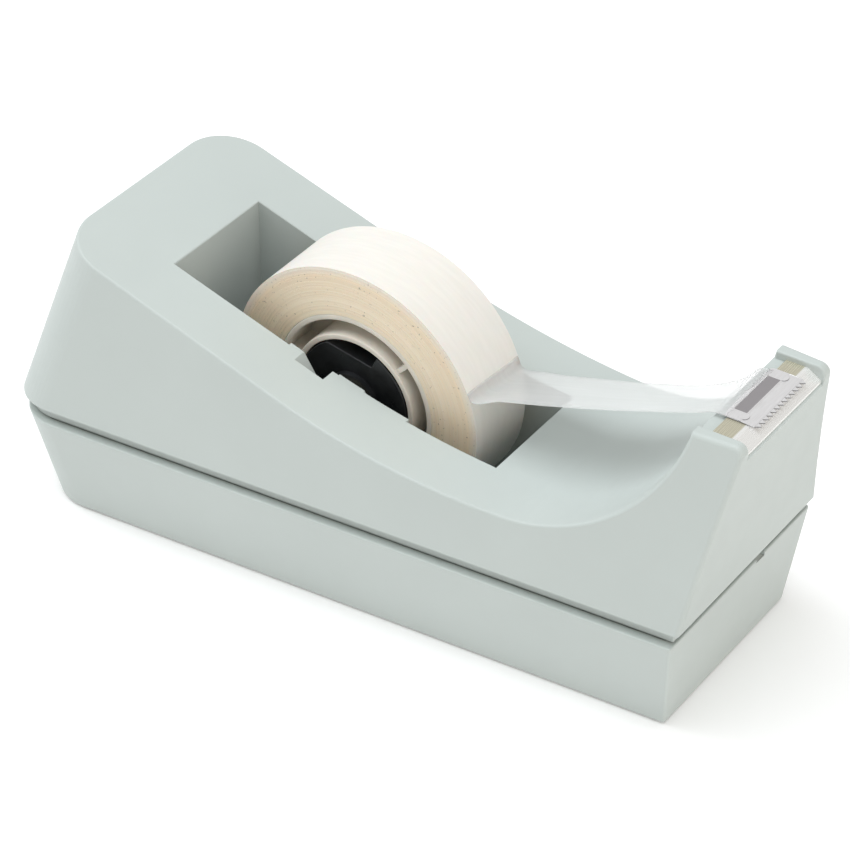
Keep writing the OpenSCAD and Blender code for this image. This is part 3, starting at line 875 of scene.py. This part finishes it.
class DISPENSER_OT_core(bpy.types.Operator):
    """Makes the ribbed white core that the tape is wound on"""
    bl_idname = "dispenser.core"
    bl_label = "Tape core"

    def execute(self, context):
        white = core_plastic()
        show("ribbed_core", ribbed_core(white), white, "spool", "core", "tape_core")
        return {"FINISHED"}


# ---- tape --------------------------------------------------------------------------------------


class DISPENSER_OT_roll(bpy.types.Operator):
    """Makes the wound roll of tape, band by band"""
    bl_idname = "dispenser.roll"
    bl_label = "Tape roll"

    def execute(self, context):
        tape = wound_tape()
        s = settings().tape
        show("wound_roll", roll_mesh(tape, s), tape, "spool", "tape", "tape_roll")
        return {"FINISHED"}


def roll_mesh(material, s):
    """The roll, made by turning the stepped outline that a node tree gives."""
    t = Tree("Wound bands", material, Layers=s.layers, Ragged=s.ragged, Seed=s.seed,
             Inner=CORE_SIZE.x / 2 + 0.02 * MM, Outer=ROLL_SIZE.x / 2, Half=ROLL_SIZE.y / 2,
             Segments=168)
    # A sheet of vertices: rows go across the outline, columns go round the axis
    double = t.math("MULTIPLY", t.input("Layers"), 2.0)
    rows = t.math("MULTIPLY", double, 2.0)
    rows_closed = t.math("ADD", rows, 1.0)
    columns = t.math("ADD", t.input("Segments"), 1.0)
    sheet = t.feed(t.add("GeometryNodeMeshGrid"), Size_X=1.0, Size_Y=1.0, Vertices_X=rows_closed,
                   Vertices_Y=columns)
    index = t.add("GeometryNodeInputIndex").outputs[0]
    column = t.math("MODULO", index, columns)
    row = t.math("MODULO", t.math("FLOOR", t.math("DIVIDE", t.math("ADD", index, 0.5), columns)), rows)
    far = t.math("GREATER_THAN", row, t.math("SUBTRACT", double, 0.5))
    back = t.math("SUBTRACT", t.math("SUBTRACT", rows, 1.0), row)
    place = t.math("ADD", t.math("MULTIPLY", row, t.math("SUBTRACT", 1.0, far)), t.math("MULTIPLY", back, far))
    layer = t.math("FLOOR", t.math("MULTIPLY", t.math("ADD", place, 0.25), 0.5))
    edge = t.math("FLOOR", t.math("MULTIPLY", t.math("ADD", place, 1.25), 0.5))
    radius = t.math("ADD", t.input("Inner"), t.math("MULTIPLY", t.math("DIVIDE", edge, t.input("Layers")), t.math(
        "SUBTRACT", t.input("Outer"), t.input("Inner"))))
    uneven = t.add("FunctionNodeRandomValue", data_type="FLOAT")
    t.wire(t.math("ADD", layer, t.math("MULTIPLY", far, 500.0)), uneven.inputs["ID"])
    t.wire(t.input("Seed"), uneven.inputs["Seed"])
    reach = t.math("SUBTRACT", t.input("Half"), t.math("MULTIPLY", uneven.outputs[1], t.input("Ragged")))
    along = t.math("MULTIPLY", reach, t.math("SUBTRACT", t.math("MULTIPLY", far, 2.0), 1.0))
    angle = t.math("MULTIPLY", column, t.math("DIVIDE", 2 * math.pi, t.input("Segments")))
    spot = t.vector(t.math("ADD", t.math("MULTIPLY", radius, t.math("COSINE", angle)), AXIS.x),
                    t.math("ADD", along, AXIS.y),
                    t.math("ADD", t.math("MULTIPLY", radius, t.math("SINE", angle)), AXIS.z))
    placed = t.feed(t.add("GeometryNodeSetPosition"), Geometry=sheet.outputs["Mesh"], Position=spot)
    welded = t.feed(t.add("GeometryNodeMergeByDistance"), Geometry=placed.outputs["Geometry"],
                    Distance=0.002 * MM)
    t.finish(welded.outputs["Geometry"])
    mesh = t.run(bpy.data.meshes.new("start"), "wound_roll")
    bm = bmesh.new()
    bm.from_mesh(mesh)
    bmesh.ops.recalc_face_normals(bm, faces=bm.faces)
    for face in bm.faces:
        face.smooth = True
    bm.to_mesh(mesh)
    bm.free()
    mesh.set_sharp_from_angle(angle=math.radians(40))
    return mesh


def through(points, t):
    """A smooth line through points, t from 0 to 1 by distance along it."""
    p = [Vector(q) for q in points]
    steps = [(b - a).length for a, b in zip(p, p[1:])]
    want = t * sum(steps)
    i = 0
    while i < len(steps) - 1 and want > steps[i]:
        want -= steps[i]
        i += 1

    def slope(k):
        if k in (0, len(p) - 1):
            j = min(k, len(p) - 2)
            return (p[j + 1] - p[j]) / steps[j]
        a, b = steps[k - 1], steps[k]
        return ((p[k] - p[k - 1]) / a * b + (p[k + 1] - p[k]) / b * a) / (a + b)

    u, h = min(1.0, want / steps[i]), steps[i]
    return ((1 + 2 * u) * (1 - u) ** 2 * p[i] + u * (1 - u) ** 2 * h * slope(i)
            + u * u * (3 - 2 * u) * p[i + 1] + u * u * (u - 1) * h * slope(i + 1))


def film_surface():
    """The free tape: taut along its near edge, slack and a little twisted along its far edge."""
    s = settings().tape
    r = ROLL_SIZE.x / 2 + 0.12 * MM
    half = ROLL_SIZE.y / 2
    top = BLADE_HIGH.z + 0.05 * MM
    land = BLADE_LOW.x - 1.2 * MM
    end = BLADE_LOW.x + 0.9 * MM

    def on_roll(angle):
        a = math.radians(angle)
        return (AXIS.x + r * math.cos(a), AXIS.z + r * math.sin(a))

    peel = on_roll(20.5)
    run = land - peel[0]

    def chord(share, drop):
        return (peel[0] + run * share, peel[1] + (top - peel[1]) * share - drop)

    near = [on_roll(23), peel, chord(0.13, 0.1 * MM), chord(0.35, 0.5 * MM), chord(0.6, 0.7 * MM),
            chord(0.8, 0.5 * MM), chord(0.93, 0.25 * MM), (land, top), (end, top)]
    g = s.far_sag
    far = [on_roll(21), on_roll(16.5), chord(0.13, 0.72 * g), chord(0.35, 0.9 * g), chord(0.6, 1.02 * g),
           chord(0.8, 0.96 * g), chord(0.93, 0.55 * g), (land, top - 0.3 * MM), (end, top)]
    nose_middle = (35.0 * MM, 74.2 * MM)
    ledge = BRACKET_HIGH.z - 0.6 * MM
    lengthwise, across = 72, 12
    bm = bmesh.new()
    grid = []
    for i in range(lengthwise + 1):
        t = i / lengthwise
        a, b = through(near, t), through(far, t)
        drift = 0.55 * MM * min(1, max(0, (t - 0.3) / 0.6))
        row = []
        for j in range(across + 1):
            v = j / across
            ease = v * v * (3 - 2 * v) * 0.55 + v * 0.45
            x, z = a.lerp(b, ease)
            # Stay above the curved back of the nose
            reach = (36.4 * MM) ** 2 - (x - nose_middle[0]) ** 2
            if nose_middle[0] + 20 * MM < x < land and reach > 0:
                z = max(z, min(ledge, nose_middle[1] - math.sqrt(reach)) + 0.35 * MM)
            row.append(bm.verts.new((x, AXIS.y - half + 2 * half * v + drift, z)))
        grid.append(row)
    for one, two in zip(grid, grid[1:]):
        for j in range(across):
            bm.faces.new((one[j], two[j], two[j + 1], one[j + 1]))
    for face in bm.faces:
        face.smooth = True
    bmesh.ops.recalc_face_normals(bm, faces=bm.faces)
    mesh = bpy.data.meshes.new("film")
    bm.to_mesh(mesh)
    bm.free()
    return mesh


class DISPENSER_OT_film(bpy.types.Operator):
    """Makes the free length of tape between the roll and the cutter"""
    bl_idname = "dispenser.film"
    bl_label = "Free tape"

    def execute(self, context):
        film, surface = clear_film(), film_surface()
        piece = temporary(surface)
        wall = piece.modifiers.new("Thickness", "SOLIDIFY")
        wall.thickness = settings().tape.thickness
        wall.offset = 0
        tape = show("free_tape", settled(piece, "free_tape"), film, "body", "film", "tape_lead")
        return {"FINISHED"}


# ---- stage -------------------------------------------------------------------------------------


def soft_light(name, at, size, power, tint=(1, 1, 1)):
    """A large square light that looks at the object."""
    lamp = bpy.data.lights.new(name, "AREA")
    lamp.shape = "SQUARE"
    lamp.size = size
    lamp.energy = power
    lamp.color = tint
    piece = bpy.data.objects.new(name, lamp)
    bpy.context.scene.collection.objects.link(piece)
    piece.location = at
    piece.rotation_mode = "QUATERNION"
    piece.rotation_quaternion = (Vector((0, 0, 0.03)) - Vector(at)).to_track_quat("-Z", "Y")
    return piece


class DISPENSER_OT_stage(bpy.types.Operator):
    """Sets the pale floor, the soft studio light and the camera"""
    bl_idname = "dispenser.stage"
    bl_label = "Stage"

    def execute(self, context):
        s = settings().stage
        scene = context.scene
        scene.view_settings.view_transform = "Standard"
        bm = bmesh.new()
        bmesh.ops.create_grid(bm, x_segments=2, y_segments=2, size=4.0)
        floor = bpy.data.meshes.new("floor")
        bm.to_mesh(floor)
        bm.free()
        f = Finish("pale_floor", s.floor, 0.75, Specular_IOR_Level=0.2)
        f.shader.inputs["Emission Color"].default_value = (1, 1, 1, 1)
        f.shader.inputs["Emission Strength"].default_value = 0.14
        floor.materials.append(f.material)
        ground = bpy.data.objects.new("floor", floor)
        scene.collection.objects.link(ground)
        world = bpy.data.worlds.new("studio")
        world.use_nodes = True
        back = world.node_tree.nodes["Background"]
        back.inputs["Color"].default_value = (1.0, 0.965, 0.92, 1)
        back.inputs["Strength"].default_value = s.sky
        scene.world = world
        soft_light("overhead", (0.0, -0.12, 1.1), 0.9, s.key, (0.94, 1.0, 1.05))
        soft_light("rear_left", (-0.8, -0.15, 0.78), 0.7, s.side, (0.97, 1.0, 1.02))
        soft_light("front_fill", (0.85, -0.2, 0.35), 0.6, s.fill, (1.0, 0.93, 0.83))
        camera = bpy.data.objects.new("camera", bpy.data.cameras.new("camera"))
        scene.collection.objects.link(camera)
        away = Vector((math.sin(s.turn) * math.cos(s.rise), -math.cos(s.turn) * math.cos(s.rise),
                       math.sin(s.rise)))
        camera.location = Vector((0, 0, 0.03)) + away * s.distance
        camera.rotation_mode = "QUATERNION"
        camera.rotation_quaternion = (-away).to_track_quat("-Z", "Y")
        camera.data.lens = s.lens
        camera.data.sensor_width = 36.0
        camera.data.shift_x = -0.0028
        camera.data.shift_y = -0.0050
        camera.data.clip_start, camera.data.clip_end = 0.01, 20.0
        scene.camera = camera
        return {"FINISHED"}


# ---- panel and registration --------------------------------------------------------------------

STEPS = (DISPENSER_OT_housings, DISPENSER_OT_cutter, DISPENSER_OT_fixings, DISPENSER_OT_hub,
         DISPENSER_OT_core, DISPENSER_OT_roll, DISPENSER_OT_film, DISPENSER_OT_stage)


class DISPENSER_PT_panel(bpy.types.Panel):
    """Lists the dispenser's pieces and their sizes"""
    bl_idname = "DISPENSER_PT_panel"
    bl_label = "Desk Tape Dispenser"
    bl_space_type = "VIEW_3D"
    bl_region_type = "UI"
    bl_category = "Dispenser"

    def draw(self, context):
        for step in STEPS:
            self.layout.operator(step.bl_idname)
        for key, group in GROUPS.items():
            box = self.layout.box()
            box.label(text=key.capitalize())
            for name in group.__annotations__:
                box.prop(getattr(context.scene.dispenser, key), name)


CLASSES = (*GROUPS.values(), DispenserSettings, *STEPS, DISPENSER_PT_panel)


def register():
    for item in CLASSES:
        bpy.utils.register_class(item)
    bpy.types.Scene.dispenser = PointerProperty(type=DispenserSettings, name="Dispenser",
                                                description="Sizes and colours of the dispenser")


def unregister():
    del bpy.types.Scene.dispenser
    for item in reversed(CLASSES):
        bpy.utils.unregister_class(item)


def main():
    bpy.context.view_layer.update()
    register()
    for step in STEPS:
        group, name = step.bl_idname.split(".")
        result = getattr(getattr(bpy.ops, group), name)()
        if "FINISHED" not in result:
            raise RuntimeError(f"{step.bl_label} did not finish")


if __name__ == "__main__":
    main()
